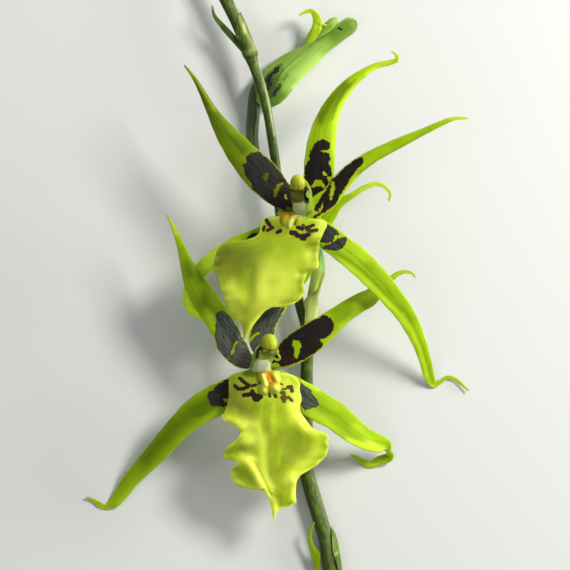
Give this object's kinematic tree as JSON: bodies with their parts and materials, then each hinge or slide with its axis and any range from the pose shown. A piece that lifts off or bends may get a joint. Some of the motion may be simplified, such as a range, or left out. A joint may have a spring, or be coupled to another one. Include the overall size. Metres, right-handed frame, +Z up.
{
  "type": "orchid flower spray",
  "caption": "Cut orchid flower spray lying face up: open blooms with long narrow tepals and ruffled lips, an opening bud and bracts on one curved stem.",
  "frame": {"origin": "middle of the underside of the lying spray, on the surface that it rests on", "axes": "+Y runs along the stem from its cut end to its tip, +Z is up and is the way the open blooms face, +X is to the right as seen from above"},
  "size_m": [0.1551, 0.3221, 0.0507],
  "materials": {
    "stem": "green plant stem with a purple-brown flush",
    "pedicel": "smooth light green flower stalk",
    "bract": "papery green bract",
    "tepal": "waxy yellow-green with maroon-brown blotches at the base",
    "lip": "soft yellow with brown spots at the base",
    "callus": "fleshy yellow and orange",
    "column": "fleshy pale green-white",
    "anther_cap": "waxy yellow"
  },
  "bodies": {
    "root": {"flower_stem": "stem", "stem_tip_bud": "pedicel", "upper_stem_bract": "bract", "lower_stem_bract": "bract", "upper_pedicel_bract": "bract", "stem_sheath": "bract", "bud_pedicel": "pedicel", "bud_folded_petals": "tepal", "bud_front_sepal": "tepal", "bud_back_sepal": "tepal", "bud_curled_sepal": "tepal", "lower_bloom_pedicel": "pedicel", "lower_bloom_dorsal_sepal": "tepal", "lower_bloom_left_sepal": "tepal", "lower_bloom_right_sepal": "tepal", "lower_bloom_left_petal": "tepal", "lower_bloom_right_petal": "tepal", "lower_bloom_lip": "lip", "lower_bloom_callus": "callus", "lower_bloom_column": "column", "lower_bloom_anther_cap": "anther_cap", "upper_bloom_pedicel": "pedicel", "upper_bloom_dorsal_sepal": "tepal", "upper_bloom_left_sepal": "tepal", "upper_bloom_right_sepal": "tepal", "upper_bloom_left_petal": "tepal", "upper_bloom_right_petal": "tepal", "upper_bloom_lip": "lip", "upper_bloom_callus": "callus", "upper_bloom_column": "column", "upper_bloom_anther_cap": "anther_cap"}
  },
  "joints": []
}
